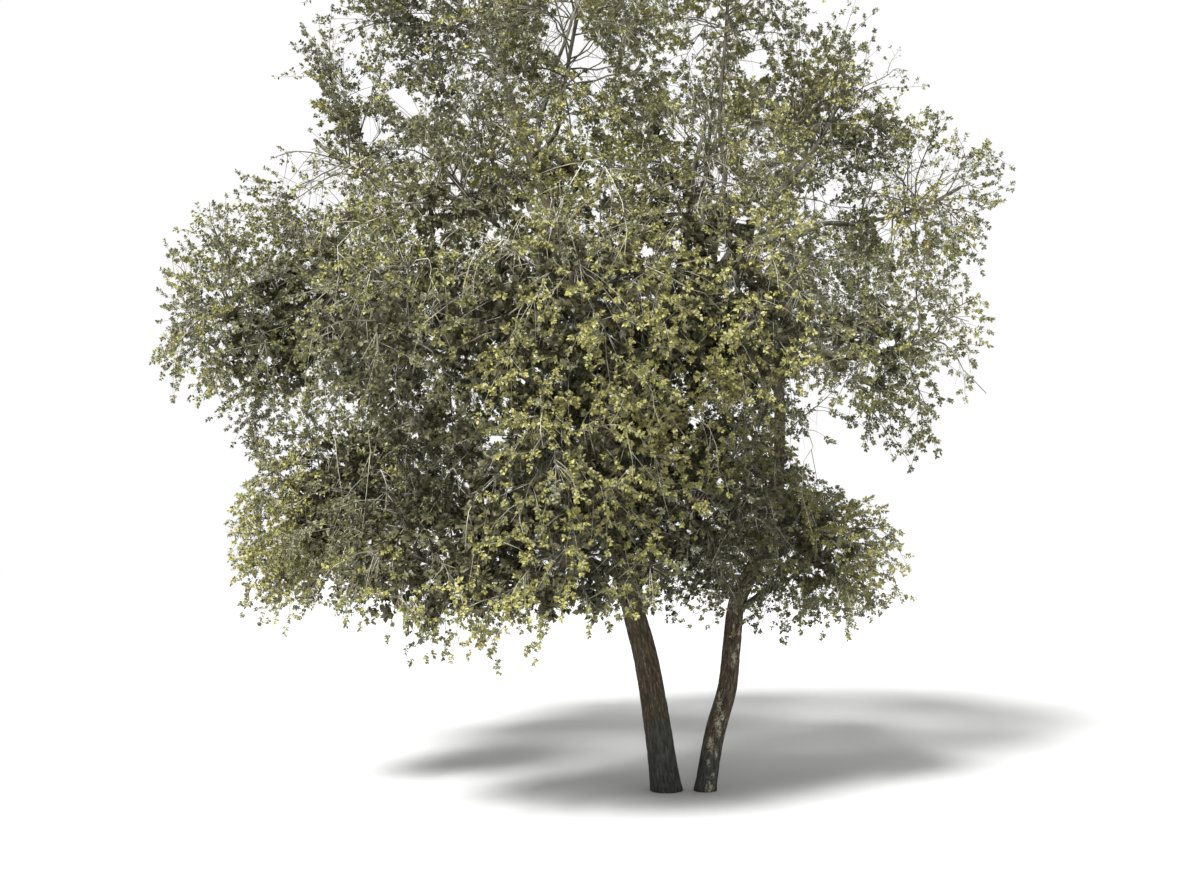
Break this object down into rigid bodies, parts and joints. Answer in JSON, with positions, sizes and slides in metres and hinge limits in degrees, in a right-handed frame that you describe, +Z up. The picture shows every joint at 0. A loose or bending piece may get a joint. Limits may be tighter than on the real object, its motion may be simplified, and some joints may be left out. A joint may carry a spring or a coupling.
{
  "type": "shrub live oak",
  "caption": "Small evergreen oak with leaning stems from one foot, spreading crooked boughs and a broad, rounded, leafy crown that hangs low at its skirt.",
  "frame": {"origin": "middle of the flat cut under the main stem, at ground level", "axes": "+Z up, +X to the right as the tree is seen from its front, from the main stem towards the second stem, +Y away from the viewer"},
  "size_m": [5.8323, 4.8692, 6.0444],
  "materials": {
    "stem_bark": "rough furrowed brown bark, nearly black towards the foot, with pale lichen on the second stem",
    "bough_bark": "rough grey-brown bark, paler towards the tips",
    "foliage": "small stiff olive-green leaves on pale tan twigs, matt with a faint gloss"
  },
  "bodies": {
    "root": {"main_stem": "stem_bark", "second_stem": "stem_bark", "bough_top_middle": "bough_bark", "bough_top_right": "bough_bark", "bough_top_front": "bough_bark", "bough_left_shoulder": "bough_bark", "bough_right_shoulder": "bough_bark", "bough_upper_front_left": "bough_bark", "bough_upper_front_right": "bough_bark", "bough_upper_back_left": "bough_bark", "bough_upper_back_right": "bough_bark", "bough_far_left": "bough_bark", "bough_left": "bough_bark", "bough_front_left": "bough_bark", "bough_front": "bough_bark", "bough_front_right": "bough_bark", "bough_far_right": "bough_bark", "bough_right_hanging": "bough_bark", "bough_back_left": "bough_bark", "bough_back": "bough_bark", "bough_skirt_left": "bough_bark", "bough_skirt_front_left": "bough_bark", "bough_skirt_front": "bough_bark", "bough_front_hanging": "bough_bark", "bough_skirt_front_right": "bough_bark", "bough_skirt_right": "bough_bark", "bough_skirt_back_right": "bough_bark", "bough_skirt_back": "bough_bark", "bough_skirt_back_left": "bough_bark", "leaves_top_left": "foliage", "leaves_top_middle": "foliage", "leaves_top_right": "foliage", "leaves_top_front": "foliage", "leaves_left_shoulder": "foliage", "leaves_right_shoulder": "foliage", "leaves_upper_front_left": "foliage", "leaves_upper_front_right": "foliage", "leaves_upper_back_left": "foliage", "leaves_upper_back_right": "foliage", "leaves_far_left": "foliage", "leaves_left": "foliage", "leaves_front_left": "foliage", "leaves_front": "foliage", "leaves_front_right": "foliage", "leaves_far_right": "foliage", "leaves_right_hanging": "foliage", "leaves_back_left": "foliage", "leaves_back": "foliage", "leaves_back_right": "foliage", "leaves_skirt_left": "foliage", "leaves_skirt_front_left": "foliage", "leaves_skirt_front": "foliage", "leaves_front_hanging": "foliage", "leaves_skirt_front_right": "foliage", "leaves_skirt_right": "foliage", "leaves_skirt_back_right": "foliage", "leaves_skirt_back": "foliage", "leaves_skirt_back_left": "foliage"}
  },
  "joints": []
}
